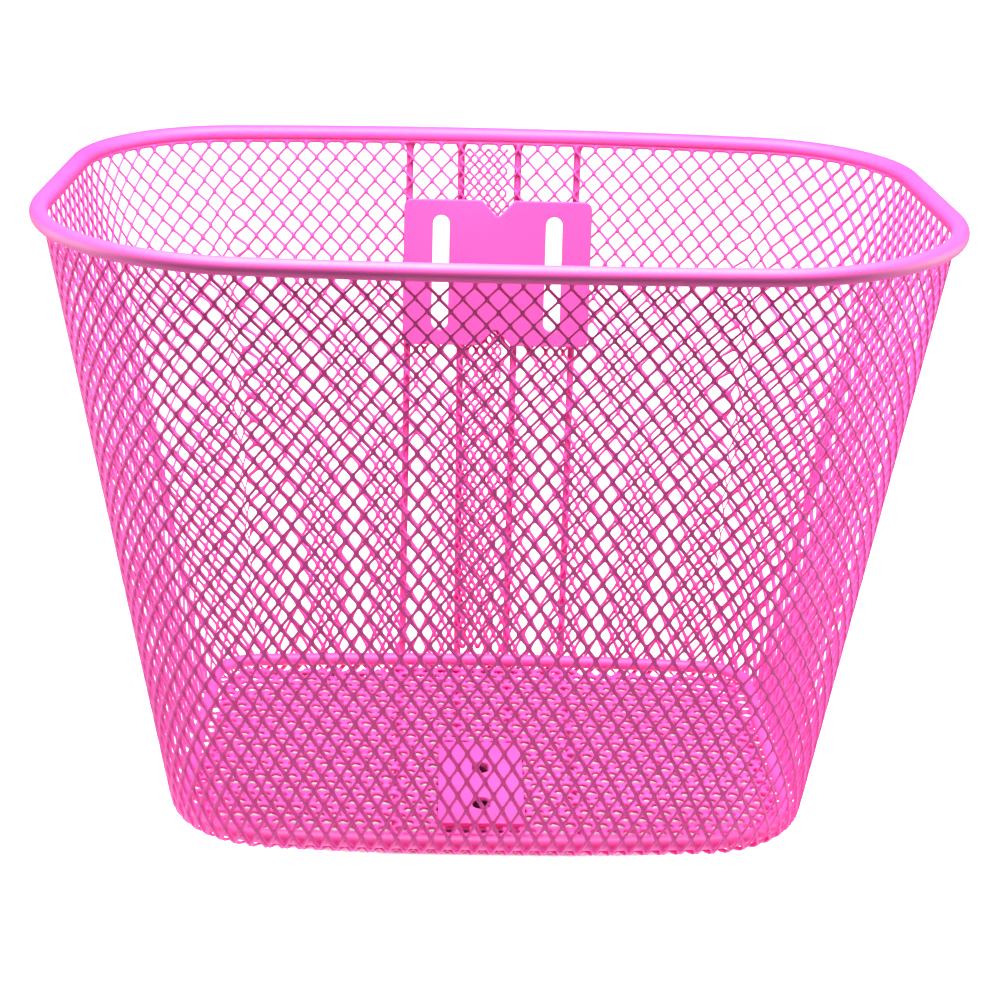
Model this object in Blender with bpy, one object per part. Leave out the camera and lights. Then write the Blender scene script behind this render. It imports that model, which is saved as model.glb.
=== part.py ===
"""Wire-mesh handlebar basket for a bicycle.

Frame: +Z up, metres. +X runs across the basket, +Y points to the bicycle, so the
flat back with the mount plate is at +Y and the bowed front is at -Y. The origin is
under the middle of the basket, on the surface that it stands on.
"""

import math
from collections import namedtuple

import bmesh
import bpy
from mathutils import Matrix, Vector

MM = 0.001

# A D-shaped loop seen from above. half_width is measured at centre_y, and the sides
# widen towards the front by side_slant (metres outwards per metre forwards).
Outline = namedtuple(
    "Outline",
    "half_width side_slant depth centre_y back_bow back_corner front_corner front_bow",
)

# Driving dimensions
GAP = 0.3 * MM                      # clearance between pieces that are welded together

RIM = Outline(170.6 * MM, 0.0585, 226.0 * MM, 0.0, 988 * MM, 63.3 * MM, 85.4 * MM, 1680 * MM)
BASE = Outline(123.6 * MM, 0.0267, 179.2 * MM, -1.1 * MM, 1255 * MM, 22.0 * MM, 43.0 * MM, 1148 * MM)

RIM_HEIGHT = 241.5 * MM             # centre line of the rim rod
RIM_RADIUS = 3.3 * MM
HOOP_RADIUS = 2.75 * MM
STRUT_RADIUS = 1.5 * MM

MESH_THICKNESS = 1.2 * MM
WALL_TOP_INSET = 2.0 * MM           # wall's middle surface, inwards from the rim's centre line
WALL_CORNER_RADIUS = 5.0 * MM       # bend from the wall to the flange under the floor
WALL_FLANGE = 10.0 * MM             # how far the wall is turned in under the floor

OUTER_STRUT_X = 36.0 * MM
INNER_STRUT_X = 11.0 * MM
STRUT_FRONT_Y = -72.0 * MM

PLATE_THICKNESS = 2.0 * MM
UPPER_PLATE_WIDTH = 81.0 * MM
UPPER_PLATE_LENGTH = 63.6 * MM      # up the slope of the back wall
UPPER_PLATE_MIDDLE_X = 2.4 * MM     # both plates are welded on a little off centre
UPPER_PLATE_MIDDLE_Z = 183.0 * MM
UPPER_PLATE_CORNER = 3.4 * MM
UPPER_SLOT_SPACING = 48.8 * MM
UPPER_SLOT_WIDTH = 7.2 * MM
UPPER_SLOT_LENGTH = 50.2 * MM
NOTCH_WIDTH = 14.0 * MM
NOTCH_DEPTH = 6.8 * MM
NOTCH_TIP = 1.6 * MM                # width of the blunt end of each V notch

LOWER_PLATE_WIDTH = 34.4 * MM
LOWER_PLATE_LENGTH = 71.0 * MM
LOWER_PLATE_MIDDLE_X = -2.0 * MM
LOWER_PLATE_MIDDLE_Y = -35.2 * MM
LOWER_PLATE_CORNER = 2.4 * MM
LOWER_SLOT_WIDTH = 7.0 * MM
LOWER_SLOT_LENGTH = 10.4 * MM
LOWER_SLOT_YS = (-22.5 * MM, -53.7 * MM)

WINDOW_MARGIN = 2.4 * MM            # the mesh is cut back by this much round each slot

# Heights that follow from the stack of pieces at the floor
FLANGE_Z = 2 * STRUT_RADIUS + GAP + MESH_THICKNESS / 2
HOOP_INSET = 4.1 * MM               # hoop's centre line, inwards and up from the wall's bend
HOOP_Z = FLANGE_Z + HOOP_INSET
FLOOR_BOTTOM_Z = FLANGE_Z + MESH_THICKNESS / 2 + GAP
LOWER_PLATE_Z = FLOOR_BOTTOM_Z + MESH_THICKNESS + GAP
WALL_TOP_Z = RIM_HEIGHT - RIM_RADIUS - GAP
STRUT_OFFSET = MESH_THICKNESS / 2 + GAP + STRUT_RADIUS

# Points on each stretch of a D-shaped loop: half of the back, back corner, side,
# front corner, half of the front
LOOP_STEPS = (4, 8, 2, 8, 6)
BEND_STEPS = 4
ROD_RESOLUTION = 4
SLOT_END_STEPS = 8
CUTTER_REACH = 8.0 * MM

PINK = (1.0, 0.19, 0.70, 1.0)


def clear_scene():
    for obj in list(bpy.data.objects):
        bpy.data.objects.remove(obj, do_unlink=True)


def make_material(name, colour, roughness):
    material = bpy.data.materials.new(name)
    material.use_nodes = True
    shader = material.node_tree.nodes["Principled BSDF"]
    shader.inputs["Base Color"].default_value = colour
    shader.inputs["Roughness"].default_value = roughness
    shader.inputs["Metallic"].default_value = 0.0
    return material


# ---------------------------------------------------------------- outlines

def corner_centre(shape, bow_centre_y, bow_radius, corner_radius, towards):
    """Centre of the arc that rounds a side line into the bowed back or front."""
    side = Vector((-shape.side_slant, 1.0)).normalized()
    outward = Vector((side.y, -side.x))
    start = Vector((shape.half_width, shape.centre_y)) - corner_radius * outward
    to_bow = start - Vector((0.0, bow_centre_y))
    half_b = to_bow.dot(side)
    rest = to_bow.length_squared - (bow_radius - corner_radius) ** 2
    along = -half_b + towards * math.sqrt(half_b * half_b - rest)
    return start + along * side


def arc(centre, radius, start, end, steps):
    """Points and outward normals from start to end, without the last one."""
    result = []
    for step in range(steps):
        angle = start + (end - start) * step / steps
        normal = Vector((math.cos(angle), math.sin(angle)))
        result.append((centre + radius * normal, normal))
    return result


def half_outline(shape):
    """Points and normals down the right side, from the back middle to the front middle."""
    back_y = shape.centre_y + shape.depth / 2
    front_y = shape.centre_y - shape.depth / 2
    back_centre = Vector((0.0, back_y - shape.back_bow))
    front_centre = Vector((0.0, front_y + shape.front_bow))
    rear = corner_centre(shape, back_centre.y, shape.back_bow, shape.back_corner, 1.0)
    fore = corner_centre(shape, front_centre.y, shape.front_bow, shape.front_corner, -1.0)
    to_rear = rear - back_centre
    to_fore = fore - front_centre
    rear_angle = math.atan2(to_rear.y, to_rear.x)
    fore_angle = math.atan2(to_fore.y, to_fore.x)
    side_angle = math.atan2(shape.side_slant, 1.0)
    back_steps, rear_steps, side_steps, fore_steps, front_steps = LOOP_STEPS

    half = arc(back_centre, shape.back_bow, math.pi / 2, rear_angle, back_steps)
    half += arc(rear, shape.back_corner, rear_angle, side_angle, rear_steps)
    normal = Vector((math.cos(side_angle), math.sin(side_angle)))
    side_start = rear + shape.back_corner * normal
    side_end = fore + shape.front_corner * normal
    for step in range(side_steps):
        half.append((side_start.lerp(side_end, step / side_steps), normal))
    half += arc(fore, shape.front_corner, side_angle, fore_angle, fore_steps)
    half += arc(front_centre, shape.front_bow, fore_angle, -math.pi / 2, front_steps)
    half.append((Vector((0.0, front_y)), Vector((0.0, -1.0))))
    return half


def closed_outline(shape):
    """The whole loop, clockwise seen from above, as points and outward normals."""
    half = half_outline(shape)
    mirrored = [
        (Vector((-point.x, point.y)), Vector((-normal.x, normal.y)))
        for point, normal in half[-2:0:-1]
    ]
    return half + mirrored


def inset_loop(shape, inset, height):
    return [
        (point - inset * normal).to_3d() + Vector((0.0, 0.0, height))
        for point, normal in closed_outline(shape)
    ]


# ---------------------------------------------------------------- meshes

def add_object(name, data, material):
    obj = bpy.data.objects.new(name, data)
    bpy.context.scene.collection.objects.link(obj)
    data.materials.append(material)
    return obj


def finish_mesh(name, bm, material):
    bmesh.ops.recalc_face_normals(bm, faces=bm.faces)
    mesh = bpy.data.meshes.new(name)
    bm.to_mesh(mesh)
    bm.free()
    mesh.shade_smooth()
    mesh.set_sharp_from_angle(angle=math.radians(35))
    return add_object(name, mesh, material)


def make_rod(name, points, radius, material, closed=False):
    """A round bar along the points, with filled ends unless it is a closed ring."""
    curve = bpy.data.curves.new(name, "CURVE")
    curve.dimensions = "3D"
    curve.bevel_depth = radius
    curve.bevel_resolution = ROD_RESOLUTION
    curve.use_fill_caps = not closed
    spline = curve.splines.new("POLY")
    spline.points.add(len(points) - 1)
    for spline_point, point in zip(spline.points, points):
        spline_point.co = (*point, 1.0)
    spline.use_cyclic_u = closed
    return add_object(name, curve, material)


def skin_sections(name, sections, material):
    """A ring-shaped solid through closed sections with the same number of points."""
    bm = bmesh.new()
    rows = [[bm.verts.new(point) for point in section] for section in sections]
    for row, next_row in zip(rows, rows[1:] + rows[:1]):
        for index in range(len(row)):
            after = (index + 1) % len(row)
            bm.faces.new((row[index], row[after], next_row[after], next_row[index]))
    return finish_mesh(name, bm, material)


def extrude_face(name, loop, thickness, material):
    """A plate from a closed flat loop, thickened along +Z."""
    bm = bmesh.new()
    face = bm.faces.new([bm.verts.new(point) for point in loop])
    extruded = bmesh.ops.extrude_face_region(bm, geom=[face])
    tops = [item for item in extruded["geom"] if isinstance(item, bmesh.types.BMVert)]
    bmesh.ops.translate(bm, verts=tops, vec=(0.0, 0.0, thickness))
    return finish_mesh(name, bm, material)


def cut(target, cutter):
    """Subtract the cutter, which stays in the file as a hidden guide."""
    cutter.hide_render = True
    cutter.display_type = "WIRE"
    modifier = target.modifiers.new("cut_" + cutter.name, "BOOLEAN")
    modifier.operation = "DIFFERENCE"
    modifier.object = cutter


def rounded_rectangle(width, length, radius):
    """Corner arcs of a flat plate, anticlockwise, centred on the origin."""
    loop = []
    for quarter, (side_x, side_y) in enumerate(((1, 1), (-1, 1), (-1, -1), (1, -1))):
        centre = Vector((side_x * (width / 2 - radius), side_y * (length / 2 - radius)))
        for step in range(BEND_STEPS + 1):
            angle = math.pi / 2 * (quarter + step / BEND_STEPS)
            offset = Vector((math.cos(angle), math.sin(angle)))
            loop.append((centre + radius * offset).to_3d())
    return loop


def slot_loop(centre, size):
    """A round-ended slot along Y, with its size as width and length."""
    centre_x, centre_y = centre
    width, length = size
    radius = width / 2
    loop = []
    for sign in (1, -1):
        end = Vector((centre_x, centre_y + sign * (length / 2 - radius), 0.0))
        for step in range(SLOT_END_STEPS + 1):
            angle = math.pi * step / SLOT_END_STEPS
            direction = Vector((math.cos(angle), math.sin(angle), 0.0))
            loop.append(end + sign * radius * direction)
    return loop


def slot_cutter(name, centre, size, placement, material):
    """A round-ended cutter that reaches both ways along its own Z."""
    loop = slot_loop(centre, size)
    cutter = extrude_face(name, loop, 2 * CUTTER_REACH, material)
    cutter.matrix_world = placement @ Matrix.Translation((0.0, 0.0, -CUTTER_REACH))
    return cutter


# ---------------------------------------------------------------- the wall's section

def wall_corners():
    """Top, bend and flange end of the wall's middle surface at each point of the loop."""
    tops = inset_loop(RIM, WALL_TOP_INSET, WALL_TOP_Z)
    bends = inset_loop(BASE, 0.0, FLANGE_Z)
    ends = inset_loop(BASE, WALL_FLANGE, FLANGE_Z)
    return list(zip(tops, bends, ends))


def bent_section(top, bend, end, radius, offset):
    """A line from top to end with a rounded bend, moved outwards by offset."""
    up = (top - bend).normalized()
    inwards = (end - bend).normalized()
    wall_normal = (up.dot(inwards) * up - inwards).normalized()
    flange_normal = (up.dot(inwards) * inwards - up).normalized()
    turn = wall_normal.angle(flange_normal)
    centre = bend - (wall_normal + flange_normal) * radius / (1 + math.cos(turn))
    points = [top + offset * wall_normal]
    for step in range(BEND_STEPS + 1):
        normal = wall_normal.slerp(flange_normal, step / BEND_STEPS)
        points.append(centre + (radius + offset) * normal)
    points.append(end + offset * flange_normal)
    return points


def make_wall(material):
    half = MESH_THICKNESS / 2
    sections = []
    for top, bend, end in wall_corners():
        outside = bent_section(top, bend, end, WALL_CORNER_RADIUS, half)
        inside = bent_section(top, bend, end, WALL_CORNER_RADIUS, -half)
        sections.append(outside + inside[::-1])
    return skin_sections("wall_mesh", sections, material)


def back_wall_frame():
    """Middle of the back wall: its bend, its slope upwards and its inward normal."""
    top, bend, _ = wall_corners()[0]
    slope = (top - bend).normalized()
    inward = Vector((0.0, -slope.z, slope.y))
    return bend, slope, inward


# ---------------------------------------------------------------- pieces

def make_rim(material):
    return make_rod("rim_rod", inset_loop(RIM, 0.0, RIM_HEIGHT), RIM_RADIUS, material, closed=True)


def make_base_hoop(material):
    loop = inset_loop(BASE, HOOP_INSET, HOOP_Z)
    return make_rod("base_hoop", loop, HOOP_RADIUS, material, closed=True)


def make_floor(material):
    loop = inset_loop(BASE, HOOP_INSET + HOOP_RADIUS + GAP, FLOOR_BOTTOM_Z)
    return extrude_face("floor_mesh", loop, MESH_THICKNESS, material)


def make_strut(name, x, material):
    """A wire down the outside of the back wall and forwards under the floor."""
    middle_top, middle_bend, _ = wall_corners()[0]
    top = middle_top + Vector((x, -x * x / (2 * RIM.back_bow), 0.0))
    bend = middle_bend + Vector((x, -x * x / (2 * BASE.back_bow), 0.0))
    front = Vector((x, STRUT_FRONT_Y, bend.z))
    points = bent_section(top, bend, front, WALL_CORNER_RADIUS, STRUT_OFFSET)
    return make_rod(name, points, STRUT_RADIUS, material)


def upper_plate_loop():
    """Rounded rectangle with a V notch in the middle of its top and bottom edges."""
    loop = rounded_rectangle(UPPER_PLATE_WIDTH, UPPER_PLATE_LENGTH, UPPER_PLATE_CORNER)
    edge = UPPER_PLATE_LENGTH / 2
    notch = [
        Vector((NOTCH_WIDTH / 2, edge, 0.0)),
        Vector((NOTCH_TIP / 2, edge - NOTCH_DEPTH, 0.0)),
        Vector((-NOTCH_TIP / 2, edge - NOTCH_DEPTH, 0.0)),
        Vector((-NOTCH_WIDTH / 2, edge, 0.0)),
    ]
    bottom_notch = [Vector((-point.x, -point.y, 0.0)) for point in notch]
    top_left = BEND_STEPS + 1
    bottom_right = 3 * top_left
    return loop[:top_left] + notch + loop[top_left:bottom_right] + bottom_notch + loop[bottom_right:]


def upper_plate_placement():
    """The plate's own X, Y and Z run across, up the wall and into the basket."""
    bend, slope, inward = back_wall_frame()
    middle = bend + slope * ((UPPER_PLATE_MIDDLE_Z - bend.z) / slope.z)
    edge_bow = (UPPER_PLATE_MIDDLE_X + UPPER_PLATE_WIDTH / 2) ** 2 / (2 * RIM.back_bow)
    origin = middle + inward * (MESH_THICKNESS / 2 + GAP + edge_bow)
    origin.x = UPPER_PLATE_MIDDLE_X
    rotation = Matrix((Vector((1.0, 0.0, 0.0)), slope, inward)).transposed()
    return Matrix.Translation(origin) @ rotation.to_4x4()


def make_upper_plate(wall, material):
    """The slotted plate on the back wall, with the wall cut away behind its slots."""
    placement = upper_plate_placement()
    plate = extrude_face("upper_mount_plate", upper_plate_loop(), PLATE_THICKNESS, material)
    plate.matrix_world = placement
    size = (UPPER_SLOT_WIDTH, UPPER_SLOT_LENGTH)
    for side, sign in (("left", -1), ("right", 1)):
        centre = (sign * UPPER_SLOT_SPACING / 2, 0.0)
        cut_slot(plate, wall, "upper_" + side, centre, size, placement, material)


def make_lower_plate(floor, material):
    """The plate that lies on the floor, with the floor cut away under its slots."""
    placement = Matrix.Translation((LOWER_PLATE_MIDDLE_X, LOWER_PLATE_MIDDLE_Y, LOWER_PLATE_Z))
    loop = rounded_rectangle(LOWER_PLATE_WIDTH, LOWER_PLATE_LENGTH, LOWER_PLATE_CORNER)
    plate = extrude_face("lower_mount_plate", loop, PLATE_THICKNESS, material)
    plate.matrix_world = placement
    size = (LOWER_SLOT_WIDTH, LOWER_SLOT_LENGTH)
    for side, slot_y in zip(("rear", "front"), LOWER_SLOT_YS):
        centre = (0.0, slot_y - LOWER_PLATE_MIDDLE_Y)
        cut_slot(plate, floor, "lower_" + side, centre, size, placement, material)


def cut_slot(plate, backing, label, centre, size, placement, material):
    """One slot through a plate, and a wider window in the mesh behind it."""
    window_size = [measure + 2 * WINDOW_MARGIN for measure in size]
    cut(plate, slot_cutter(label + "_slot", centre, size, placement, material))
    cut(backing, slot_cutter(label + "_window", centre, window_size, placement, material))


def build():
    clear_scene()
    pink = make_material("pink_powder_coat", PINK, 0.3)
    make_rim(pink)
    wall = make_wall(pink)
    make_base_hoop(pink)
    floor = make_floor(pink)
    for name, x in (
        ("back_strut_outer_left", -OUTER_STRUT_X),
        ("back_strut_inner_left", -INNER_STRUT_X),
        ("back_strut_inner_right", INNER_STRUT_X),
        ("back_strut_outer_right", OUTER_STRUT_X),
    ):
        make_strut(name, x, pink)
    make_upper_plate(wall, pink)
    make_lower_plate(floor, pink)


build()
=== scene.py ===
"""Looks of a pink handlebar basket of expanded steel mesh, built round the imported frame.

Frame: +Z up, metres. +X runs across the basket, +Y points to the bicycle, so the flat
back with the mount plate is at +Y and the bowed front, which the camera sees, is at -Y.

The wall and the floor are expanded metal: strands that zigzag from bond to bond, each
bond shared with the strand beside it. A lattice has nodes (the bonds) at whole numbers of
cells across in even rows and at half cells in odd rows. A surface function turns lattice
coordinates into points in space.
"""

import math
from collections import namedtuple

import bmesh
import bpy
import numpy as np
from mathutils import Matrix, Quaternion, Vector


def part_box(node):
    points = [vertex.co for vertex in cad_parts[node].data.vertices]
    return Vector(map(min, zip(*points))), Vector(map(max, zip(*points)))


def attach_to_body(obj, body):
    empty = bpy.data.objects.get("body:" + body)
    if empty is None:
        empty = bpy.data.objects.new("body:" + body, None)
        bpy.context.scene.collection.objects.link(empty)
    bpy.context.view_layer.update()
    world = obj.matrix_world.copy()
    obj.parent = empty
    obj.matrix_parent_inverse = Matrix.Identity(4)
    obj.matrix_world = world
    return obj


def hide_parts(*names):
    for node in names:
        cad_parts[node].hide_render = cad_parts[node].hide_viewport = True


MM = 0.001
UP = np.array((0.0, 0.0, 1.0))

# A D-shaped loop seen from above, as in the CAD: half_width is measured at centre_y, and
# the sides widen towards the front by side_slant (metres outwards per metre forwards).
Outline = namedtuple(
    "Outline",
    "half_width side_slant depth centre_y back_bow back_corner front_corner front_bow",
)
RIM = Outline(170.6 * MM, 0.0585, 226.0 * MM, 0.0, 988 * MM, 63.3 * MM, 85.4 * MM, 1680 * MM)
BASE = Outline(123.6 * MM, 0.0267, 179.2 * MM, -1.1 * MM, 1255 * MM, 22.0 * MM, 43.0 * MM, 1148 * MM)
LOOP_STEPS = (64, 128, 32, 128, 96)     # half back, back corner, side, front corner, half front
FALL_STEPS = 400                        # samples down the wall, for where its rows lie

# Rods and sheet of the CAD model
WALL_TOP_INSET = 2.0 * MM               # wall's middle surface, inwards from the rim's centre line
WALL_BEND_RADIUS = 5.0 * MM
HOOP_INSET = 4.1 * MM                   # hoop's centre line, inwards and up from the wall's bend
STRUT_RADIUS = 1.5 * MM
CAD_SHEET = 1.2 * MM                    # thickness of the CAD solids that stand for the mesh
GAP = 0.3 * MM

# The wall's mesh
CELLS_AROUND = 118
CELL_PHASE = 0.27                       # where the first node lies, in cells from the back middle
FIRST_ROW = 1.6 * MM                    # from the wall's top edge down to the first bonds
MESH_TOP = -1.3 * MM                    # the mesh runs up into the rim's coating
BEND_ROWS = 43                          # half rows from the first bonds to the bend
WALL_ROWS = 45
LAST_BONDS = 3.5 * MM                   # how far round the bend that row lies
PITCH_GROWTH = (0.185, 0.303)           # how the rows spread towards the bottom
FLANGE_HALF_ROW = 6.4 * MM

Strand = namedtuple("Strand", "width thickness bond blend tilt")
WALL_STRAND_TOP = Strand(0.88 * MM, 1.15 * MM, 1.5 * MM, 0.32 * MM, math.radians(-36))
WALL_STRAND_LOW = Strand(1.3 * MM, 1.15 * MM, 2.9 * MM, 0.45 * MM, math.radians(-36))
FLOOR_STRAND = Strand(1.5 * MM, 2.4 * MM, 4.6 * MM, 0.5 * MM, math.radians(-12))

EDGE_THICKNESS = 0.55                   # of the strand's thickness, at its rounded edges
WAIST_SLOPE = 0.35                      # of a bond's sides, which draw in towards its middle
CELL_END_SLOPE = 0.5                    # of a cell's top and bottom, in slopes of its strands
MERGE_SCALE = (1e4, 1e4, 1e8)           # points the same at this scale are one: cells, rows, metres
STUB_LINE = (                           # half a cut cell's middle line, in cells and rows
    (0.5, 0.0),
    (0.5, 0.35),
    (0.5, 1.0),
    (0.25, 1.0),
    (0.0, 1.0),
)
TOP_ARCH = (                            # inset from the stub's middle, height over the bonds
    (0.80 * MM, 0.7 * MM),
    (1.25 * MM, 1.25 * MM),
    (2.2 * MM, 1.55 * MM),
)

WINDOW_CLEARANCE = 0.8 * MM             # between the strands and the slots they are cut back from
WINDOW_REACH = 10 * MM                  # the mesh that lies this near a plate is cut back
WINDOW_SAMPLES = 5                      # points tested along each strand
SEAM_LAYER = -0.95 * MM                 # the lapped strip lies this far inside the wall
SEAM_START, SEAM_END = -1.9, 0.55       # its sides, in cells from the back middle
SEAM_PHASE = 0.45

# The floor's mesh
FLOOR_CELL = (6.4 * MM, 11.0 * MM)
FLOOR_SHIFT = 1.2 * MM
FLOOR_INSET = 6.4 * MM                  # from the wall's bend to the mesh's cut edge

# Rods
RIM_RADIUS = 3.3 * MM
HOOP_RADIUS = 2.75 * MM
RIM_STEPS = (480, 32)                   # round the loop, round the bar
HOOP_STEPS = (360, 24)
STRUT_STEPS = 50                        # on each stretch, closest at the rim and the front end
STRUT_BEND_STEPS = 13
STRUT_SIDES = 16
STRUT_TIP = 0.05                        # in radii: where the last ring lies on the rounded end
FILLET_RADIUS = 0.9 * MM                # the coating's extra radius where a wire meets the rim
FILLET_LENGTH = 1.6 * MM
STRUTS = {                              # node: distance from the middle, at the rim and lower down
    "back_strut_outer_left": (-36.0 * MM, -36.0 * MM),
    "back_strut_inner_left": (-14.0 * MM, -11.0 * MM),
    "back_strut_inner_right": (10.5 * MM, 11.0 * MM),
    "back_strut_outer_right": (36.0 * MM, 36.0 * MM),
}

# Plates: width, length and corner radius
PLATE_THICKNESS = 2.0 * MM
PLATE_EDGE = 0.5 * MM                   # radius of the coating round the edges
PLATE_EDGE_STEPS = 3
PLATE_MERGE = 0.01 * MM
CORNER_STEPS = 9
SLOT_END_STEPS = 17
UPPER_PLATE = (81.0 * MM, 63.6 * MM, 3.4 * MM)
UPPER_PLATE_MIDDLE_X = 2.4 * MM
UPPER_PLATE_MIDDLE_Z = 183.0 * MM
UPPER_SLOT = (7.2 * MM, 50.2 * MM)
UPPER_SLOT_SPACING = 48.8 * MM
NOTCH = (14.0 * MM, 6.8 * MM, 1.6 * MM)     # width, depth and width of the blunt tip
LOWER_PLATE = (34.4 * MM, 71.0 * MM, 2.4 * MM)
LOWER_PLATE_MIDDLE_X = -2.0 * MM
LOWER_PLATE_MIDDLE_Y = -35.2 * MM
LOWER_SLOT = (7.0 * MM, 10.4 * MM)
LOWER_SLOT_YS = (-22.5 * MM, -53.7 * MM)

# Coating
PINK_DEEP = (0.86, 0.072, 0.41, 1.0)
PINK_LIGHT = (0.91, 0.095, 0.46, 1.0)
Coat = namedtuple("Coat", "roughness gloss bump")
COATS = {
    "rods": Coat(0.6, 1.0, 0.25),
    "plates": Coat(0.55, 0.8, 0.3),
    "wires": Coat(0.55, 0.3, 0.0),
    "strands": Coat(0.6, 0.2, 0.0),
}
COAT_ROUGHNESS = 0.6                    # of the clear layer
NOISE_RANGE = (0.3, 0.7)                # most of a noise texture lies in it
DULLER = (-0.05, 0.08)                  # change in roughness from patch to patch
PATCH_SCALE = 14.0                      # per metre, for the slow drift in colour
PEEL_SCALE = 900.0
PEEL_DEPTH = 0.08 * MM
CLOUD_SCALE = 60.0

# Studio
TABLE_SIZE = 7.0
TABLE_COLOUR = (0.55, 0.55, 0.55, 1.0)
TABLE_GLOW = 1.5
FOOTPRINT = (118 * MM, 82 * MM)         # half the basket's base: the table glows outside it
GLOW_START = (0.97, 1.03)               # in footprints from the middle
LIGHT_REACH = (1.05, 1.5)               # where the glow stops lighting the basket
WORLD_LIGHT = 0.015
Panel = namedtuple("Panel", "place size power")
PANELS = {                              # the one above faces down, the others across
    "panel_above": Panel((0.0, -0.11, 0.62), (0.50, 0.22), 7.0),
    "panel_left": Panel((-0.75, 0.04, 0.22), (0.40, 0.40), 3.8),
    "panel_right": Panel((0.75, 0.04, 0.22), (0.40, 0.40), 3.8),
}
CAMERA_ANGLES = (math.radians(-1.789), math.radians(20.511), math.radians(1.699))
CAMERA_DISTANCE = 0.9666
CAMERA_TARGET = (3.55 * MM, 0.0, 116.9 * MM)
CAMERA_FIELD = math.radians(23.578)


# ---------------------------------------------------------------- outlines

def corner_centre(shape, bow_centre_y, bow_radius, corner_radius, towards):
    """Centre of the arc that rounds a side line into the bowed back or front."""
    side = Vector((-shape.side_slant, 1.0)).normalized()
    outward = Vector((side.y, -side.x))
    start = Vector((shape.half_width, shape.centre_y)) - corner_radius * outward
    to_bow = start - Vector((0.0, bow_centre_y))
    half_b = to_bow.dot(side)
    rest = to_bow.length_squared - (bow_radius - corner_radius) ** 2
    along = -half_b + towards * math.sqrt(half_b * half_b - rest)
    return start + along * side


def arc(centre, radius, start, end, steps):
    """Rows of x, y and the outward normal, from start to end, without the last one."""
    angle = start + (end - start) * np.arange(steps) / steps
    normal = np.stack((np.cos(angle), np.sin(angle)), axis=1)
    return np.hstack((np.array(centre) + radius * normal, normal))


def closed_outline(shape):
    """The whole loop from the back middle, clockwise seen from above: x, y and normal."""
    back_y = shape.centre_y + shape.depth / 2
    front_y = shape.centre_y - shape.depth / 2
    back_centre = Vector((0.0, back_y - shape.back_bow))
    front_centre = Vector((0.0, front_y + shape.front_bow))
    rear = corner_centre(shape, back_centre.y, shape.back_bow, shape.back_corner, 1.0)
    fore = corner_centre(shape, front_centre.y, shape.front_bow, shape.front_corner, -1.0)
    rear_angle = math.atan2(rear.y - back_centre.y, rear.x)
    fore_angle = math.atan2(fore.y - front_centre.y, fore.x)
    side_angle = math.atan2(shape.side_slant, 1.0)
    back_steps, rear_steps, side_steps, fore_steps, front_steps = LOOP_STEPS

    normal = np.array((math.cos(side_angle), math.sin(side_angle)))
    side_start = np.array(rear) + shape.back_corner * normal
    side_end = np.array(fore) + shape.front_corner * normal
    share = np.arange(side_steps)[:, None] / side_steps
    side = side_start + (side_end - side_start) * share
    half = np.vstack((
        arc(back_centre, shape.back_bow, math.pi / 2, rear_angle, back_steps),
        arc(rear, shape.back_corner, rear_angle, side_angle, rear_steps),
        np.hstack((side, np.tile(normal, (side_steps, 1)))),
        arc(fore, shape.front_corner, side_angle, fore_angle, fore_steps),
        arc(front_centre, shape.front_bow, fore_angle, -math.pi / 2, front_steps),
        ((0.0, front_y, 0.0, -1.0),),
    ))
    mirrored = half[-2:0:-1] * (-1.0, 1.0, -1.0, 1.0)
    return np.vstack((half, mirrored))


def inset_loop(shape, inset, height):
    """The outline as points in space at one height, moved in by inset."""
    outline = closed_outline(shape)
    points = outline[:, :2] - inset * outline[:, 2:]
    return np.hstack((points, np.full((len(points), 1), height)))


def arc_shares(loop):
    """How far round the loop its points lie, from 0 to 1 at its start again, and its length."""
    closed = np.vstack((loop, loop[:1]))
    lengths = np.linalg.norm(np.diff(closed, axis=0), axis=1)
    return np.concatenate(((0.0,), np.cumsum(lengths))) / lengths.sum(), lengths.sum()


def at_share(loop, share):
    """Points of a closed loop at shares of its number of points."""
    place = np.mod(share, 1.0) * len(loop)
    first = np.floor(place).astype(int)
    rest = (place - first)[:, None]
    return loop[first % len(loop)] * (1 - rest) + loop[(first + 1) % len(loop)] * rest


def unit(vectors):
    return vectors / np.linalg.norm(vectors, axis=-1, keepdims=True)


# ---------------------------------------------------------------- surfaces

def dot(a, b):
    """Dot products of two arrays of vectors, kept as a column."""
    return (a * b).sum(axis=-1, keepdims=True)


def fold(top, bend, end, radius):
    """A rounded fold: from top down to the sharp bend, and from there on to end.

    Returns the directions up and inwards from the bend, the outward normals of the two
    sides, the angle between these and the middle of the rounding.
    """
    up = unit(top - bend)
    inwards = unit(end - bend)
    cosine = dot(up, inwards)
    wall_normal = unit(cosine * up - inwards)
    flange_normal = unit(cosine * inwards - up)
    turn = np.arccos(dot(wall_normal, flange_normal))
    centre = bend - (wall_normal + flange_normal) * radius / (1 + np.cos(turn))
    return up, inwards, wall_normal, flange_normal, turn, centre


def fold_normal(share, wall_normal, flange_normal, turn):
    """The normal at a share of the way round a fold."""
    mixed = np.sin((1 - share) * turn) * wall_normal + np.sin(share * turn) * flange_normal
    return mixed / np.sin(turn)


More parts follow.
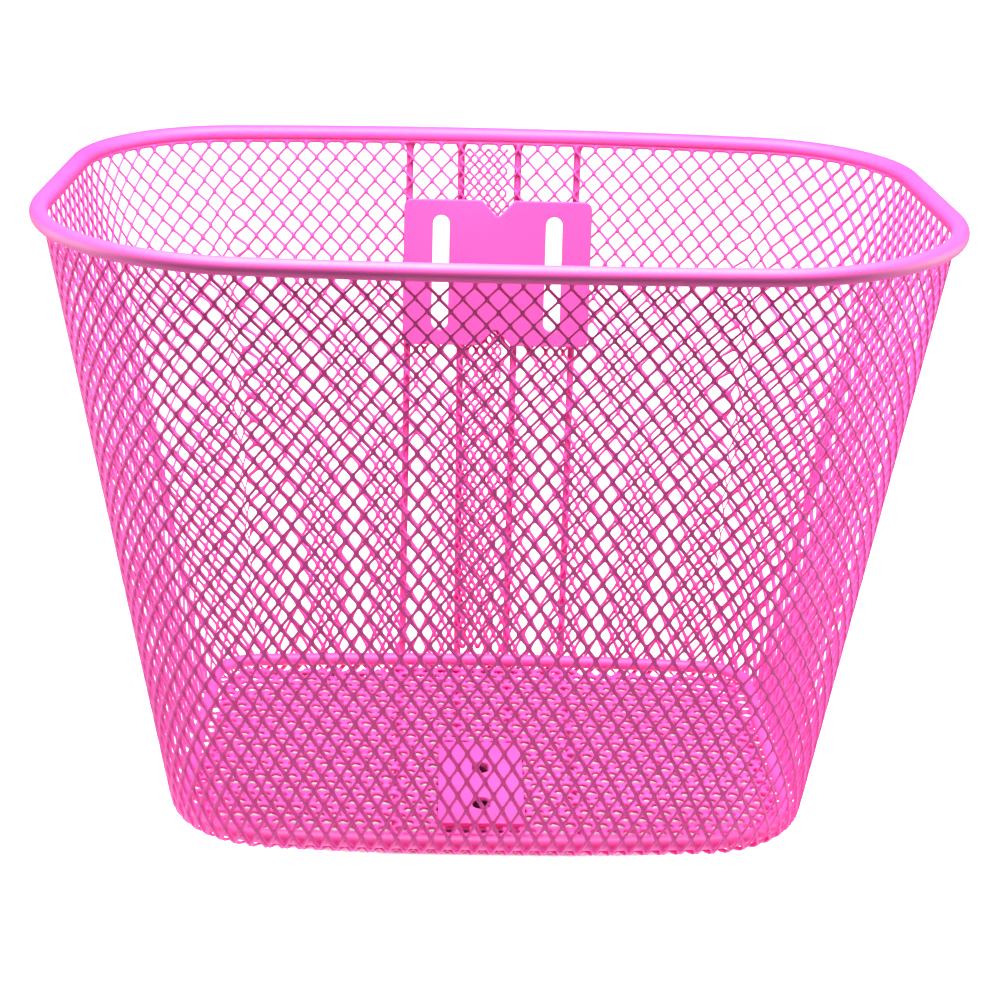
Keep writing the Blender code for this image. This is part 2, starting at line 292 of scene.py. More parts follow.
class WallSurface:
    """The wall's middle surface: down the wall, round the bend and in under the floor."""

    period = CELLS_AROUND

    def __init__(self, layer=0.0):
        self.layer = layer
        low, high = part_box("wall_mesh")
        flange_z = low.z + CAD_SHEET / 2
        self.top = inset_loop(RIM, WALL_TOP_INSET, high.z)
        self.bend = inset_loop(BASE, 0.0, flange_z)
        self.end = inset_loop(BASE, 2 * WALL_BEND_RADIUS, flange_z)     # only for its direction
        self.index_share = np.linspace(0.0, 1.0, len(self.top) + 1)
        self.top_share, self.top_length = arc_shares(self.top)
        self.bend_share, self.bend_length = arc_shares(self.bend)
        self.height = high.z - flange_z
        self.falls = np.linspace(0.0, 1.0, FALL_STEPS)
        pitch = 1 + PITCH_GROWTH[0] * self.falls + PITCH_GROWTH[1] * self.falls ** 4
        rows = np.cumsum(1 / pitch) - 1 / pitch[0]
        self.row_shares = rows / rows[-1]

    def strand(self, row):
        """The strands' sizes at this row: lower down they are wider and their bonds longer."""
        fall = self.fall(row)
        sizes = zip(WALL_STRAND_TOP, WALL_STRAND_LOW)
        return Strand(*[at_top + (lower - at_top) * fall for at_top, lower in sizes])

    def fall(self, row):
        """Share of the way from the first bonds to the bend's bonds at this row."""
        return np.interp(row / BEND_ROWS, self.row_shares, self.falls)

    def cell_size(self, row):
        """Width of a cell and half its height, in metres, at this row."""
        row = np.asarray(row, float)
        above = np.clip(row - 0.5, 0.0, BEND_ROWS)
        below = np.clip(row + 0.5, 0.0, BEND_ROWS)
        width = self.top_length + (self.bend_length - self.top_length) * self.fall(row)
        span = below - above
        drop = (self.fall(below) - self.fall(above)) * self.height
        on_flange = below <= above
        half = np.where(on_flange, FLANGE_HALF_ROW, drop / np.where(on_flange, 1.0, span))
        return width / CELLS_AROUND, half

    def point(self, across, row, out):
        """Points at lattice coordinates, moved out of the surface by out metres."""
        share = np.mod(across / CELLS_AROUND, 1.0)
        by_top = np.interp(share, self.top_share, self.index_share)
        by_bend = np.interp(share, self.bend_share, self.index_share)
        index = by_top + (by_bend - by_top) * self.fall(row)
        top = at_share(self.top, index)
        bend = at_share(self.bend, index)
        end = at_share(self.end, index)
        folded = fold(top, bend, end, WALL_BEND_RADIUS)
        up, inwards, wall_normal, flange_normal, turn, centre = folded
        tangent = WALL_BEND_RADIUS * np.tan(turn / 2)
        length = np.linalg.norm(top - bend, axis=1, keepdims=True) - tangent
        distance = self.distance(row[:, None], length)
        round_share = np.clip((distance - length) / WALL_BEND_RADIUS / turn, 0.0, 1.0)
        normal = fold_normal(round_share, wall_normal, flange_normal, turn)
        past = distance - length - WALL_BEND_RADIUS * turn
        on_wall = top - up * distance
        on_bend = centre + WALL_BEND_RADIUS * normal
        on_flange = bend + inwards * (tangent + past)
        place = np.where(distance < length, on_wall, np.where(past < 0, on_bend, on_flange))
        return place + normal * (self.layer + out)[:, None]

    def distance(self, row, length):
        """How far down the surface a row lies, from the wall's top edge."""
        above_first = np.minimum(row, 0.0) * (FIRST_ROW - MESH_TOP)
        on_flange = np.maximum(row - BEND_ROWS, 0.0) * FLANGE_HALF_ROW
        on_wall = (length + LAST_BONDS - FIRST_ROW) * self.fall(row)
        return FIRST_ROW + above_first + on_wall + on_flange


class FloorSurface:
    """The floor's flat middle surface, with its rows running from the back to the front."""

    period = None

    def __init__(self):
        low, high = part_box("floor_mesh")
        self.origin = np.array((FLOOR_SHIFT, high.y, (low.z + high.z) / 2))

    def strand(self, row):
        return FLOOR_STRAND

    def cell_size(self, row):
        row = np.asarray(row, float)
        return np.full(row.shape, FLOOR_CELL[0]), np.full(row.shape, FLOOR_CELL[1] / 2)

    def point(self, across, row, out):
        offset = (across * FLOOR_CELL[0], -row * FLOOR_CELL[1] / 2, out)
        return self.origin + np.stack(offset, axis=1)


# ---------------------------------------------------------------- expanded metal

def bond_outline(strand, width, half_height):
    """Where the metal of one quarter of a bond lies, in metres from the bond's middle.

    Returns three points on the strand that leaves it (its middle, its edge on the cell beside
    the bond, its edge on the cell above it) and how far the bond reaches to each of those cells.
    """
    run = width / 2 - strand.width
    rise = half_height - strand.bond
    length = np.hypot(run, rise)
    run, rise = run / length, rise / length
    half = strand.width / 2
    middle = (half + strand.blend * run, strand.bond / 2 + strand.blend * rise)
    beside = (middle[0] + half * rise, middle[1] - half * run)
    above = (middle[0] - half * rise, middle[1] + half * run)
    reach_beside = beside[0] - WAIST_SLOPE * beside[1]
    reach_above = above[1] - CELL_END_SLOPE * above[0] * rise / run
    return middle, beside, above, reach_beside, reach_above


def edge_lean(strand):
    """How far a tilted strand's edge stands out of the surface."""
    return strand.width / 2 * np.sin(strand.tilt)


class Lattice:
    """Collects the faces of an expanded-metal mesh, with one vertex for each shared point."""

    def __init__(self, surface):
        self.surface = surface
        self.thickness = surface.strand(0.0).thickness
        self.points = []
        self.faces = []
        self.count = 0

    def add_points(self, across, row, out):
        """Adds points and returns their numbers."""
        parts = np.broadcast_arrays(across, row, out)
        self.points.append(np.stack(parts, axis=1))
        self.count += len(parts[0])
        return np.arange(self.count - len(parts[0]), self.count)

    def add_faces(self, *corners):
        self.faces.append(np.stack(corners, axis=1))

    def add_strip(self, outer, inner):
        """Skins half a strand between its middle line, outer, and a cell's edge, inner.

        Both are lists of (across, row, lean), and lean is how far the point tilts out of the
        surface. Returns the four lines of vertices: front, front edge, back edge and back.
        """
        front = self.thickness / 2
        edge = EDGE_THICKNESS * front
        lines = [
            [self.add_points(across, row, lean + height) for across, row, lean in outline]
            for outline, height in ((outer, front), (inner, edge), (inner, -edge), (outer, -front))
        ]
        for line, next_line in zip(lines, lines[1:]):
            for step in range(len(line) - 1):
                self.add_faces(line[step], line[step + 1], next_line[step + 1], next_line[step])
        return lines

    def add_quarter(self, across, row, side_x, side_y, side_open, end_open):
        """A quarter of some cells, from each one's bond beside it to its bond above or below.

        side_open and end_open say where no other strand carries on from those bonds, so that
        the metal has to be closed there.
        """
        wide, half = self.surface.cell_size(row)
        strand = self.surface.strand(row)
        lean = side_x * edge_lean(strand)
        node = across + side_x / 2
        middle, beside, _, reach, _ = bond_outline(strand, wide, half)
        outer = [
            (node, row, 0.0),
            (node - side_x * middle[0] / wide, row + side_y * middle[1] / half, 0.0),
        ]
        inner = [
            (node - side_x * reach / wide, row, lean),
            (node - side_x * beside[0] / wide, row + side_y * beside[1] / half, lean),
        ]
        end_row = row + side_y
        wide, half = self.surface.cell_size(end_row)
        strand = self.surface.strand(end_row)
        lean = side_x * edge_lean(strand)
        middle, _, above, _, reach = bond_outline(strand, wide, half)
        outer += [
            (across + side_x * middle[0] / wide, end_row - side_y * middle[1] / half, 0.0),
            (across, end_row, 0.0),
        ]
        inner += [
            (across + side_x * above[0] / wide, end_row - side_y * above[1] / half, lean),
            (across, end_row - side_y * reach / half, 0.0),
        ]
        lines = self.add_strip(outer, inner)
        self.add_faces(*[line[0][side_open] for line in lines])
        self.add_faces(*[line[-1][end_open] for line in lines])

    def add_cells(self, across, row, is_present):
        """All the cells with their middles at across, row, but only with the strands asked for.

        Bonds in row 0 are left open above, for the wall's stubs from add_top_edge. The floor and
        the lapped strip have no stubs, so some of their bonds in row 0 stay open: a known fault.
        """
        quarters = [(side_x, side_y) for side_x in (-1, 1) for side_y in (-1, 1)]
        shown = {
            (side_x, side_y): is_present(across + side_x / 2, row, across, row + side_y)
            for side_x, side_y in quarters
        }
        for side_x, side_y in quarters:
            here = shown[side_x, side_y]
            side_open = ~shown[side_x, -side_y] & (row > 0)
            end_open = ~shown[-side_x, side_y]
            self.add_quarter(
                across[here], row[here], side_x, side_y, side_open[here], end_open[here]
            )

    def add_top_edge(self, across, is_last):
        """The cells cut off by the rim: stubs from the first bonds and an arch of coating.

        is_last says for each side which of the cells has no neighbour there.
        """
        wide, half = self.surface.cell_size(0.0)
        strand = self.surface.strand(0.0)
        _, _, _, reach, _ = bond_outline(strand, wide, half)
        rise = FIRST_ROW - MESH_TOP
        arch = [(reach, 0.0)] + list(TOP_ARCH) + [(wide / 2, TOP_ARCH[-1][1])]
        row = np.zeros(len(across))
        for side in (-1, 1):
            outer = [(across + side * place, row - height, 0.0) for place, height in STUB_LINE]
            inner = [
                (across + side * (0.5 - inset / wide), row - height / rise, 0.0)
                for inset, height in arch
            ]
            inner[0] = (inner[0][0], inner[0][1], side * edge_lean(strand))
            front, _, _, back = self.add_strip(outer, inner)
            for step in range(len(STUB_LINE) - 1):
                beside_next_cell = step < 2
                chosen = is_last[side] if beside_next_cell else slice(None)
                quad = (front[step], back[step], back[step + 1], front[step + 1])
                self.add_faces(*[corner[chosen] for corner in quad])

    def build(self, name, material):
        """Merges the shared points and makes the object."""
        points = np.vstack(self.points)
        keys = np.round(points * MERGE_SCALE).astype(np.int64)
        if self.surface.period:
            keys[:, 0] %= int(self.surface.period * MERGE_SCALE[0])
        _, first, place = np.unique(keys, axis=0, return_index=True, return_inverse=True)
        faces = place.reshape(-1)[np.vstack(self.faces)]
        positions = self.surface.point(*points[first].T)
        return mesh_object(name, positions, faces.tolist(), material)


def cells_between(first, last, rows, phase):
    """Middles of the cells, as across and row, in the rows of bonds from 0 to rows."""
    across = []
    row = []
    for number in range(rows + 1):
        middles = np.arange(first, last) + phase + (0.5 if number % 2 == 0 else 0.0)
        across.append(middles)
        row.append(np.full(len(middles), float(number)))
    return np.concatenate(across), np.concatenate(row)


# ---------------------------------------------------------------- plain meshes

def add_object(name, data, material):
    obj = bpy.data.objects.new(name, data)
    bpy.context.scene.collection.objects.link(obj)
    data.materials.append(material)
    return obj


def mesh_object(name, positions, faces, material):
    """A smooth-shaded object from an array of points and a list of faces."""
    mesh = bpy.data.meshes.new(name)
    mesh.from_pydata(positions.tolist(), [], faces)
    bm = bmesh.new()
    bm.from_mesh(mesh)
    loose = [vert for vert in bm.verts if not vert.link_faces]
    bmesh.ops.delete(bm, geom=loose, context="VERTS")
    bmesh.ops.recalc_face_normals(bm, faces=bm.faces)
    bm.to_mesh(mesh)
    bm.free()
    mesh.shade_smooth()
    return add_object(name, mesh, material)


def grid_faces(rows, columns, closed):
    """Quads of a tube: rows of rings with this many columns, joined up if it is closed."""
    ring = np.arange(columns)
    faces = []
    for row in range(rows if closed else rows - 1):
        here = row * columns
        there = (row + 1) % rows * columns
        after = (ring + 1) % columns
        faces.append(np.stack((here + ring, here + after, there + after, there + ring), axis=1))
    return np.vstack(faces)


def tube(name, path, sideways, radii, sides, material, closed=False):
    """A round bar along a path. sideways is one direction across the bar at each point."""
    ahead = np.roll(path, -1, axis=0) - np.roll(path, 1, axis=0)
    if not closed:
        ahead[0] = path[1] - path[0]
        ahead[-1] = path[-1] - path[-2]
    ahead = unit(ahead)
    sideways = unit(sideways - ahead * dot(sideways, ahead))
    third = np.cross(ahead, sideways)
    angle = 2 * math.pi * np.arange(sides) / sides
    across = sideways[:, None] * np.cos(angle)[:, None] + third[:, None] * np.sin(angle)[:, None]
    points = path[:, None] + across * np.asarray(radii)[:, None, None]
    faces = grid_faces(len(path), sides, closed).tolist()
    if not closed:
        last = (len(path) - 1) * sides
        faces += [list(range(sides)), list(range(last, last + sides))]
    return mesh_object(name, points.reshape(-1, 3), faces, material)


# ---------------------------------------------------------------- mesh pieces

def slot_distance(points, placement, centre, size):
    """How far points near a plate lie from a round-ended slot's edge, in the plate's plane."""
    inverse = np.array(placement.inverted())
    local = points @ inverse[:3, :3].T + inverse[:3, 3]
    radius = size[0] / 2
    past_end = np.maximum(np.abs(local[:, 1] - centre[1]) - (size[1] / 2 - radius), 0.0)
    distance = np.hypot(local[:, 0] - centre[0], past_end) - radius
    return np.where(np.abs(local[:, 2]) < WINDOW_REACH, distance, WINDOW_REACH)


def is_clear(surface, start, end, slots):
    """Whether the strands between two sets of nodes keep clear of all the slots."""
    clear = np.ones(len(start[0]), bool)
    for share in np.linspace(0.0, 1.0, WINDOW_SAMPLES):
        across = start[0] + (end[0] - start[0]) * share
        row = start[1] + (end[1] - start[1]) * share
        points = surface.point(across, row, np.zeros(len(across)))
        for placement, centre, size in slots:
            clear &= slot_distance(points, placement, centre, size) > WINDOW_CLEARANCE
    return clear


def wall_test(surface, start, end, last_row, slots):
    """A test for strands that lie between two places across the wall and down to a row."""
    def is_present(side_across, side_row, end_across, end_row):
        middle = (side_across + end_across) / 2
        on_wall = (end_row >= 0) & (np.maximum(side_row, end_row) <= last_row)
        wanted = on_wall & (middle > start) & (middle < end)
        return wanted & is_clear(surface, (side_across, side_row), (end_across, end_row), slots)

    return is_present


def make_wall_half(name, first, last, slots, material):
    """Half of the wall's mesh, between two columns of bonds."""
    surface = WallSurface()
    lattice = Lattice(surface)
    is_present = wall_test(surface, first + CELL_PHASE, last + CELL_PHASE, WALL_ROWS, slots)
    across, row = cells_between(first - 1, last + 1, WALL_ROWS + 1, CELL_PHASE)
    lattice.add_cells(across, row, is_present)
    arches = np.arange(first, last) + CELL_PHASE + 0.5
    is_end = {-1: arches == arches[0], 1: arches == arches[-1]}
    lattice.add_top_edge(arches, is_end)
    return lattice.build(name, material)


def make_seam(slots, material):
    """The strip where the wall's mesh laps over itself in the middle of the back."""
    surface = WallSurface(SEAM_LAYER)
    lattice = Lattice(surface)
    is_present = wall_test(surface, SEAM_START, SEAM_END, BEND_ROWS - 1, slots)
    across, row = cells_between(-4, 4, BEND_ROWS, CELL_PHASE + SEAM_PHASE)
    lattice.add_cells(across, row, is_present)
    return lattice.build("wall_seam_overlap", material)


def make_floor_mesh(slots, material):
    """The floor's mesh, cut to the D shape inside the hoop."""
    surface = FloorSurface()
    lattice = Lattice(surface)
    outline = inset_loop(BASE, FLOOR_INSET, 0.0)[:, :2]

    def is_inside(across, row):
        points = surface.point(across, row, np.zeros(len(across)))[:, :2]
        return inside_outline(points, outline)

    def is_present(side_across, side_row, end_across, end_row):
        wanted = is_inside(side_across, side_row) & is_inside(end_across, end_row)
        return wanted & is_clear(surface, (side_across, side_row), (end_across, end_row), slots)

    rows = math.ceil(2 * BASE.depth / FLOOR_CELL[1])
    columns = math.ceil(BASE.half_width / FLOOR_CELL[0]) + 2
    across, row = cells_between(-columns, columns, rows, 0.0)
    lattice.add_cells(across, row, is_present)
    return lattice.build("floor_expanded_mesh", material)


def inside_outline(points, outline):
    """Whether points lie inside a closed outline, by counting the edges to their right."""
    after = np.roll(outline, -1, axis=0)
    low, high = outline[:, 1], after[:, 1]
    level = points[:, 1:2]
    crosses = (low <= level) != (high <= level)
    step = np.where(high == low, 1.0, high - low)
    edge_x = outline[:, 0] + (after[:, 0] - outline[:, 0]) * (level - low) / step
    return (crosses & (edge_x > points[:, :1])).sum(axis=1) % 2 == 1


# ---------------------------------------------------------------- rods

def evenly(loop, count):
    """A closed loop resampled to a number of equally spaced points."""
    shares, _ = arc_shares(loop)
    closed = np.vstack((loop, loop[:1]))
    places = np.arange(count) / count
    return np.stack([np.interp(places, shares, closed[:, axis]) for axis in range(3)], axis=1)


def make_ring(name, shape, inset, height, radius, counts, material):
    """A closed rod; counts are its points along and its sides."""
    path = evenly(inset_loop(shape, inset, height), counts[0])
    sideways = np.tile(UP, (len(path), 1))
    return tube(name, path, sideways, np.full(len(path), radius), counts[1], material, closed=True)


def bent_path(top, bend, end, radius, offset):
    """A line from top to end with a rounded bend, moved outwards by offset."""
    _, _, wall_normal, flange_normal, turn, centre = fold(top, bend, end, radius)
    share = np.linspace(0.0, 1.0, STRUT_BEND_STEPS)[:, None]
    normal = fold_normal(share, wall_normal, flange_normal, turn)
    bend_points = centre + (radius + offset) * normal
    spread = np.linspace(0.0, 1.0, STRUT_STEPS)[:, None] ** 2
    first = top + offset * wall_normal
    last = end + offset * flange_normal
    down = first + (bend_points[0] - first) * spread
    forwards = last + (bend_points[-1] - last) * spread[::-1]
    return np.vstack((down[:-1], bend_points, forwards[1:]))


def strut_radii(path):
    """Rounded at the front end, with a fillet of coating where the wire meets the rim."""
    steps = np.linalg.norm(np.diff(path, axis=0), axis=1)
    distance = np.concatenate(((0.0,), np.cumsum(steps)))
    to_end = np.clip((distance[-1] - distance) / STRUT_RADIUS, STRUT_TIP, 1.0)
    rounding = np.sqrt(to_end * (2 - to_end))
    return STRUT_RADIUS * rounding + FILLET_RADIUS * np.exp(-(distance / FILLET_LENGTH) ** 2)


def make_strut(node, top_x, x, material):
    """A wire down the outside of the back wall and forwards under the floor."""
    surface = WallSurface()
    top = surface.top[0] + (top_x, -top_x * top_x / (2 * RIM.back_bow), 0.0)
    bend = surface.bend[0] + (x, -x * x / (2 * BASE.back_bow), 0.0)
    end = np.array((x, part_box(node)[0].y, bend[2]))
    offset = CAD_SHEET / 2 + GAP + STRUT_RADIUS
    path = bent_path(top, bend, end, WALL_BEND_RADIUS, offset)
    sideways = np.tile((1.0, 0.0, 0.0), (len(path), 1))
    return tube(node + "_wire", path, sideways, strut_radii(path), STRUT_SIDES, material)


# ---------------------------------------------------------------- plates

def rounded_rectangle(width, length, radius):
    """Corner arcs of a plate's outline, anticlockwise, centred on the origin."""
    corners = []
    for quarter, (side_x, side_y) in enumerate(((1, 1), (-1, 1), (-1, -1), (1, -1))):
        centre = np.array((side_x * (width / 2 - radius), side_y * (length / 2 - radius)))
        angle = math.pi / 2 * (quarter + np.linspace(0.0, 1.0, CORNER_STEPS))
        corners.append(centre + radius * np.stack((np.cos(angle), np.sin(angle)), axis=1))
    return corners


def slot_loop(centre, size):
    """A round-ended slot along Y."""
    radius = size[0] / 2
    ends = []
    for sign in (1, -1):
        end = np.array((centre[0], centre[1] + sign * (size[1] / 2 - radius)))
        angle = np.linspace(0.0, math.pi, SLOT_END_STEPS)
        ends.append(end + sign * radius * np.stack((np.cos(angle), np.sin(angle)), axis=1))
    return np.vstack(ends)


def make_plate(name, loops, placement, material):
    """A coated sheet-metal plate: an outline with slots, and coating rounded over its edges."""
    curve = bpy.data.curves.new(name, "CURVE")
    curve.dimensions = "2D"
    curve.fill_mode = "BOTH"
    curve.extrude = PLATE_THICKNESS / 2 - PLATE_EDGE
    curve.bevel_depth = PLATE_EDGE
    curve.bevel_resolution = PLATE_EDGE_STEPS
    curve.offset = -PLATE_EDGE
    for loop in loops:
        spline = curve.splines.new("POLY")
        spline.points.add(len(loop) - 1)
        for spline_point, point in zip(spline.points, loop):
            spline_point.co = (point[0], point[1], 0.0, 1.0)
        spline.use_cyclic_u = True
    flat = add_object(name + "_outline", curve, material)
    depsgraph = bpy.context.evaluated_depsgraph_get()
    mesh = bpy.data.meshes.new_from_object(flat.evaluated_get(depsgraph))
    bpy.data.objects.remove(flat, do_unlink=True)
    bm = bmesh.new()
    bm.from_mesh(mesh)
    bmesh.ops.remove_doubles(bm, verts=bm.verts, dist=PLATE_MERGE)
    bmesh.ops.recalc_face_normals(bm, faces=bm.faces)
    bm.to_mesh(mesh)
    bm.free()
    mesh.transform(placement @ Matrix.Translation((0.0, 0.0, PLATE_THICKNESS / 2)))
    mesh.shade_smooth()
    mesh.materials.clear()
    plate = add_object(name, mesh, material)
    plate.modifiers.new("flat_faces", "WEIGHTED_NORMAL")
    return plate


def upper_plate_placement():
    """The plate's own X, Y and Z run across, up the wall and into the basket."""
    surface = WallSurface()
    bend = Vector(surface.bend[0])
    slope = (Vector(surface.top[0]) - bend).normalized()
    inward = Vector((0.0, -slope.z, slope.y))
    middle = bend + slope * ((UPPER_PLATE_MIDDLE_Z - bend.z) / slope.z)
    edge_bow = (UPPER_PLATE_MIDDLE_X + UPPER_PLATE[0] / 2) ** 2 / (2 * RIM.back_bow)
    origin = middle + inward * (CAD_SHEET / 2 + GAP + edge_bow)
    origin.x = UPPER_PLATE_MIDDLE_X
    rotation = Matrix((Vector((1.0, 0.0, 0.0)), slope, inward)).transposed()
    return Matrix.Translation(origin) @ rotation.to_4x4()


def make_upper_plate(placement, slots, material):
    """The slotted plate on the back wall, with V notches in its top and bottom edges."""
    corners = rounded_rectangle(*UPPER_PLATE)
    edge = UPPER_PLATE[1] / 2
    half, depth, tip = NOTCH[0] / 2, NOTCH[1], NOTCH[2] / 2
    notch = np.array(((half, edge), (tip, edge - depth), (-tip, edge - depth), (-half, edge)))
    outline = np.vstack((corners[0], notch, corners[1], corners[2], -notch, corners[3]))
    loops = [outline] + [slot_loop(centre, size) for _, centre, size in slots]
    return make_plate("upper_plate_coated", loops, placement, material)


def make_lower_plate(placement, slots, material):
    """The plate on the floor, with two short slots."""
    loops = [np.vstack(rounded_rectangle(*LOWER_PLATE))]
    loops += [slot_loop(centre, size) for _, centre, size in slots]
    return make_plate("lower_plate_coated", loops, placement, material)


# ---------------------------------------------------------------- materials

def noise(nodes, links, place, scale, detail):
    """Soft patches fixed to the object; returns their output socket."""
    node = nodes.new("ShaderNodeTexNoise")
    node.inputs["Scale"].default_value = scale
    node.inputs["Detail"].default_value = detail
    links.new(place.outputs["Object"], node.inputs["Vector"])
    return node.outputs["Fac"]


def powder_coat(name, coat):
    """Satin pink powder coat, a little uneven in colour, with orange peel where bump is set."""
    material = bpy.data.materials.new(name)
    material.use_nodes = True
    nodes = material.node_tree.nodes
    links = material.node_tree.links
    shader = nodes["Principled BSDF"]
    shader.inputs["Metallic"].default_value = 0.0
    shader.inputs["IOR"].default_value = 1.5
    shader.inputs["Coat Weight"].default_value = coat.gloss
    shader.inputs["Coat Roughness"].default_value = COAT_ROUGHNESS
    shader.inputs["Roughness"].default_value = coat.roughness
    place = nodes.new("ShaderNodeTexCoord")
    patches = noise(nodes, links, place, PATCH_SCALE, 2.0)
    ramp = nodes.new("ShaderNodeValToRGB")
    for stop, position, colour in zip(ramp.color_ramp.elements, NOISE_RANGE, (PINK_DEEP, PINK_LIGHT)):
        stop.position = position
        stop.color = colour
    links.new(patches, ramp.inputs["Fac"])
    links.new(ramp.outputs["Color"], shader.inputs["Base Color"])
    if coat.bump > 0:
        add_orange_peel(nodes, links, place, shader, coat)
    return material


def add_orange_peel(nodes, links, place, shader, coat):
    """Fine waves in the coating, and cloudy patches that are a little duller."""
    waves = nodes.new("ShaderNodeBump")
    waves.inputs["Strength"].default_value = coat.bump
    waves.inputs["Distance"].default_value = PEEL_DEPTH
    links.new(noise(nodes, links, place, PEEL_SCALE, 1.0), waves.inputs["Height"])
    links.new(waves.outputs["Normal"], shader.inputs["Normal"])
    clouds = noise(nodes, links, place, CLOUD_SCALE, 3.0)
    roughnesses = [coat.roughness + change for change in DULLER]
    dullness = map_range(nodes, links, clouds, NOISE_RANGE, roughnesses, "LINEAR")
    links.new(dullness, shader.inputs["Roughness"])


def map_range(nodes, links, source, source_range, target_range, interpolation="SMOOTHSTEP"):
    """Turns one range of values into another; returns its output socket."""
    node = nodes.new("ShaderNodeMapRange")
    node.interpolation_type = interpolation
    node.inputs["From Min"].default_value, node.inputs["From Max"].default_value = source_range
    node.inputs["To Min"].default_value, node.inputs["To Max"].default_value = target_range
    links.new(source, node.inputs["Value"])
    return node.outputs["Result"]


def combine(nodes, links, operation, first, second):
    """One Math node that joins two values; returns its output socket."""
    node = nodes.new("ShaderNodeMath")
    node.operation = operation
    links.new(first, node.inputs[0])
    links.new(second, node.inputs[1])
    return node.outputs["Value"]


def rounded_distance(nodes, links, place):
    """1 all along a rectangle with round corners, as the fourth root of x ** 4 + y ** 4."""
    power = place
    for _ in range(2):
        square = nodes.new("ShaderNodeVectorMath")
        square.operation = "MULTIPLY"
        links.new(power, square.inputs[0])
        links.new(power, square.inputs[1])
        power = square.outputs["Vector"]
    total = nodes.new("ShaderNodeVectorMath")
    total.operation = "DOT_PRODUCT"
    total.inputs[1].default_value = (1.0, 1.0, 0.0)
    links.new(power, total.inputs[0])
    root = nodes.new("ShaderNodeMath")
    root.operation = "POWER"
    root.inputs[1].default_value = 0.25
    links.new(total.outputs["Value"], root.inputs[0])
    return root.outputs["Value"]


def table_material():
    """A pale table that glows white round the basket and is unlit under it.

    Its glow lights the basket only from close by, though the camera sees it everywhere.
    """
    material = bpy.data.materials.new("table")
    material.use_nodes = True
    nodes = material.node_tree.nodes
    links = material.node_tree.links
    shader = nodes["Principled BSDF"]
    shader.inputs["Base Color"].default_value = TABLE_COLOUR
    shader.inputs["Roughness"].default_value = 0.9
    shader.inputs["Specular IOR Level"].default_value = 0.0
    shader.inputs["Emission Color"].default_value = (1.0, 1.0, 1.0, 1.0)
    place = nodes.new("ShaderNodeTexCoord")
    footprint = nodes.new("ShaderNodeVectorMath")
    footprint.operation = "DIVIDE"
    footprint.inputs[1].default_value = (*FOOTPRINT, 1.0)
    links.new(place.outputs["Object"], footprint.inputs[0])
    distance = rounded_distance(nodes, links, footprint.outputs["Vector"])
    glow = map_range(nodes, links, distance, GLOW_START, (0.0, TABLE_GLOW))
    near = map_range(nodes, links, distance, LIGHT_REACH, (1.0, 0.0))
    ray = nodes.new("ShaderNodeLightPath")
    seen = combine(nodes, links, "MAXIMUM", ray.outputs["Is Camera Ray"], near)
    strength = combine(nodes, links, "MULTIPLY", glow, seen)
    links.new(strength, shader.inputs["Emission Strength"])
    return material


# ---------------------------------------------------------------- studio

def add_panel(name, panel):
    """A soft light panel, out of the camera's sight, that faces down or across to the basket."""
    light = bpy.data.lights.new(name, "AREA")
    light.shape = "RECTANGLE"
    light.size, light.size_y = panel.size
    light.energy = panel.power
    lamp = bpy.data.objects.new(name, light)
    lamp.location = panel.place
    if panel.place[0] != 0.0:
        towards = Vector((-panel.place[0], 0.0, 0.0))
        lamp.rotation_euler = towards.to_track_quat("-Z", "Y").to_euler()
    lamp.visible_camera = False
    bpy.context.scene.collection.objects.link(lamp)


def make_world():
    """Dim all round as light, and white behind the object."""
    world = bpy.data.worlds.new("studio")
    world.use_nodes = True
    nodes = world.node_tree.nodes
    links = world.node_tree.links
    background = nodes["Background"]
    background.inputs["Color"].default_value = (1.0, 1.0, 1.0, 1.0)
    ray = nodes.new("ShaderNodeLightPath")
    seen = ray.outputs["Is Camera Ray"]
    strength = map_range(nodes, links, seen, (0.0, 1.0), (WORLD_LIGHT, 1.0), "LINEAR")
    links.new(strength, background.inputs["Strength"])
    bpy.context.scene.world = world


def make_camera():
    """The photograph's viewpoint, from the angles, distance and roll fitted to the object."""
    azimuth, elevation, roll = CAMERA_ANGLES
    away = Vector((
        math.sin(azimuth) * math.cos(elevation),
        -math.cos(azimuth) * math.cos(elevation),
        math.sin(elevation),
    ))
    data = bpy.data.cameras.new("camera")
    data.sensor_width = 36.0
    data.angle = CAMERA_FIELD
    camera = bpy.data.objects.new("camera", data)
    turn = (-away).to_track_quat("-Z", "Y") @ Quaternion((0.0, 0.0, 1.0), roll)
    camera.rotation_euler = turn.to_euler()
    camera.location = Vector(CAMERA_TARGET) + CAMERA_DISTANCE * away
    bpy.context.scene.collection.objects.link(camera)
    bpy.context.scene.camera = camera


def make_studio():
    """The table, the light panels, the world and the camera."""
    bm = bmesh.new()
    bmesh.ops.create_grid(bm, x_segments=1, y_segments=1, size=TABLE_SIZE / 2)
    mesh = bpy.data.meshes.new("table")
    bm.to_mesh(mesh)
    bm.free()
    table = add_object("table", mesh, table_material())
    for name, panel in PANELS.items():
        add_panel(name, panel)
    make_world()
    make_camera()
    bpy.context.scene.view_settings.view_transform = "Standard"


# ---------------------------------------------------------------- the basket

def attach(piece, node):
    """Puts a visible piece on the body, in place of the node it stands for."""
    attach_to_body(piece, "root")
    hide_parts(node)


def middle_height(node):
    """Height of the middle of a node's box."""
    low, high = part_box(node)
    return (low.z + high.z) / 2


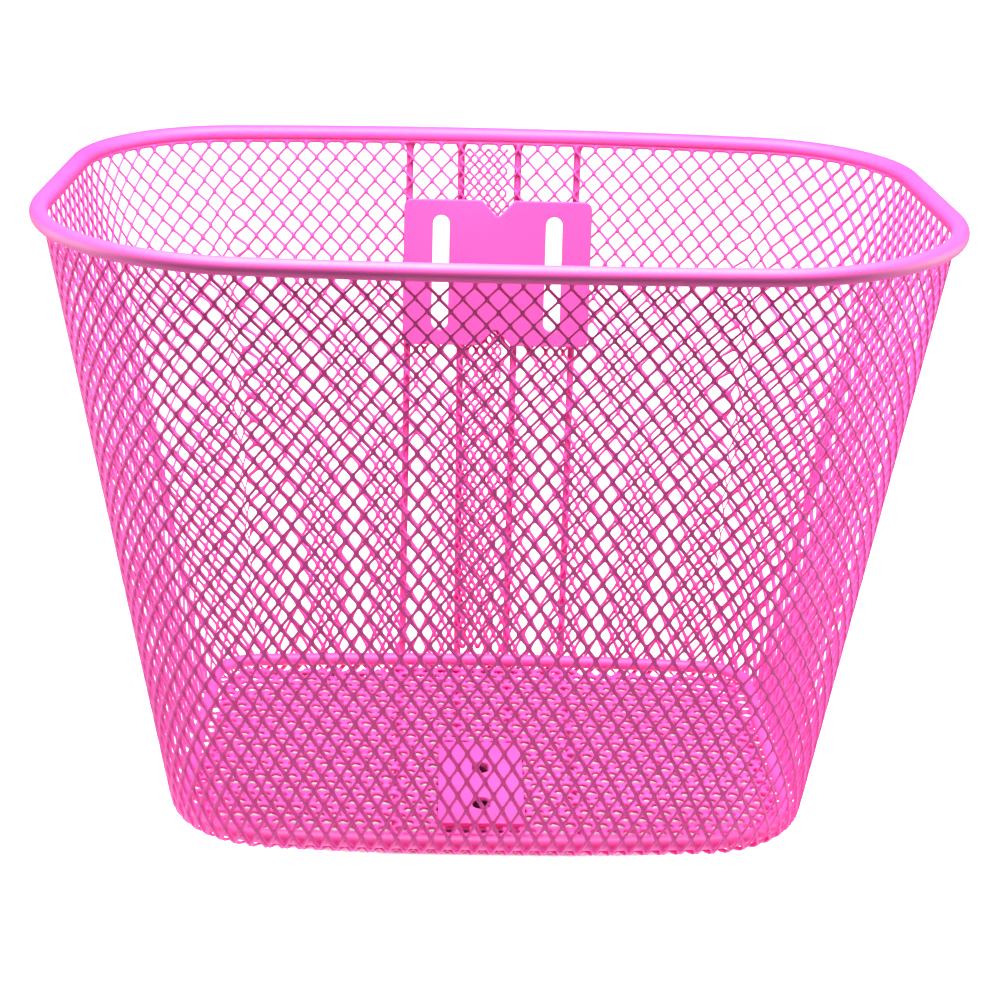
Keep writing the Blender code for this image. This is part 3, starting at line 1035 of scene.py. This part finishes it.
def attach_mesh(strands, upper_slots, lower_slots):
    """The wall in two halves, its lapped strip and the floor."""
    half = CELLS_AROUND // 2
    for name, first, last in (("wall_strands_right", 0, half), ("wall_strands_left", -half, 0)):
        piece = make_wall_half(name, first, last, upper_slots, strands)
        attach(piece, "wall_mesh")
    attach(make_seam(upper_slots, strands), "wall_mesh")
    attach(make_floor_mesh(lower_slots, strands), "floor_mesh")


def attach_rods(rods, wires):
    """The rim, the hoop and the four wires."""
    rim_z = middle_height("rim_rod")
    hoop_z = middle_height("base_hoop")
    rim = make_ring("rim_coated", RIM, 0.0, rim_z, RIM_RADIUS, RIM_STEPS, rods)
    hoop = make_ring("hoop_coated", BASE, HOOP_INSET, hoop_z, HOOP_RADIUS, HOOP_STEPS, rods)
    attach(rim, "rim_rod")
    attach(hoop, "base_hoop")
    for node, (top_x, x) in STRUTS.items():
        attach(make_strut(node, top_x, x, wires), node)


def build():
    """Makes every visible piece, each attached to the node it stands for."""
    coats = {name: powder_coat("coated_" + name, coat) for name, coat in COATS.items()}
    upper = upper_plate_placement()
    lower_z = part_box("lower_mount_plate")[0].z
    lower = Matrix.Translation((LOWER_PLATE_MIDDLE_X, LOWER_PLATE_MIDDLE_Y, lower_z))
    upper_slots = [(upper, (sign * UPPER_SLOT_SPACING / 2, 0.0), UPPER_SLOT) for sign in (-1, 1)]
    lower_slots = [(lower, (0.0, y - LOWER_PLATE_MIDDLE_Y), LOWER_SLOT) for y in LOWER_SLOT_YS]
    attach_mesh(coats["strands"], upper_slots, lower_slots)
    attach_rods(coats["rods"], coats["wires"])
    upper_plate = make_upper_plate(upper, upper_slots, coats["plates"])
    lower_plate = make_lower_plate(lower, lower_slots, coats["plates"])
    attach(upper_plate, "upper_mount_plate")
    attach(lower_plate, "lower_mount_plate")


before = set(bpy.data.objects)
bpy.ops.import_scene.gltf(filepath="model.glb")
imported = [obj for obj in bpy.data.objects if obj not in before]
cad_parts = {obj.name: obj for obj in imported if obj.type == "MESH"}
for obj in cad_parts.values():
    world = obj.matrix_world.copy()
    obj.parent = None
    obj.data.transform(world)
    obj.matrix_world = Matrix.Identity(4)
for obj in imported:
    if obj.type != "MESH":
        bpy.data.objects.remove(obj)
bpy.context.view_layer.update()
build()
make_studio()
